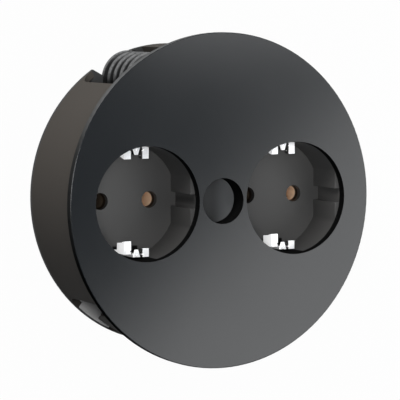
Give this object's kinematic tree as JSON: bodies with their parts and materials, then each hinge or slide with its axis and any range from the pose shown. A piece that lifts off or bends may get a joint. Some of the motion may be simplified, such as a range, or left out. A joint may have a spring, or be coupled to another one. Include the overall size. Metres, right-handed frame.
{
  "type": "in-desk power module",
  "caption": "Round flush desk power insert: earthed sockets under a flat cover, a centre well, and ribbed grip plugs in a cylindrical housing with a lead outlet.",
  "frame": {"origin": "on the body's axis, in the plane of the cover's underside, which is the top of the desk", "axes": "+Z out of the desk along the axis, +X from the left socket to the right one, +Y to the top of the sockets"},
  "size_m": [0.1168, 0.1168, 0.0431],
  "materials": {
    "cover": "fine satin, dark grey",
    "insert": "matte, dark grey",
    "housing": "matte, dark grey",
    "rear_sheet": "smooth satin, mid grey",
    "grip_rubber": "dull, grey",
    "nickel_spring": "bright nickel",
    "copper_alloy": "bare copper alloy",
    "brass_block": "bare brass",
    "zinc_steel": "zinc plated"
  },
  "bodies": {
    "root": {"cover_plate": "cover", "socket_block": "insert", "housing_shell": "housing", "rear_plate": "rear_sheet", "centre_cap": "cover", "centre_screw": "zinc_steel", "earth_clip_left": "nickel_spring", "earth_clip_right": "nickel_spring", "contact_live_left": "copper_alloy", "contact_neutral_left": "copper_alloy", "contact_live_right": "copper_alloy", "contact_neutral_right": "copper_alloy", "live_busbar": "copper_alloy", "neutral_busbar": "copper_alloy", "earth_busbar": "copper_alloy", "contact_carrier": "insert", "carrier_screws": "zinc_steel", "terminal_live": "brass_block", "terminal_neutral": "brass_block", "terminal_earth": "brass_block", "terminal_screws": "zinc_steel", "grip_plug_upper": "grip_rubber", "grip_plug_lower": "grip_rubber", "plug_screws": "zinc_steel", "plug_washers": "zinc_steel", "rear_screws": "zinc_steel", "block_screws": "zinc_steel"}
  },
  "joints": []
}
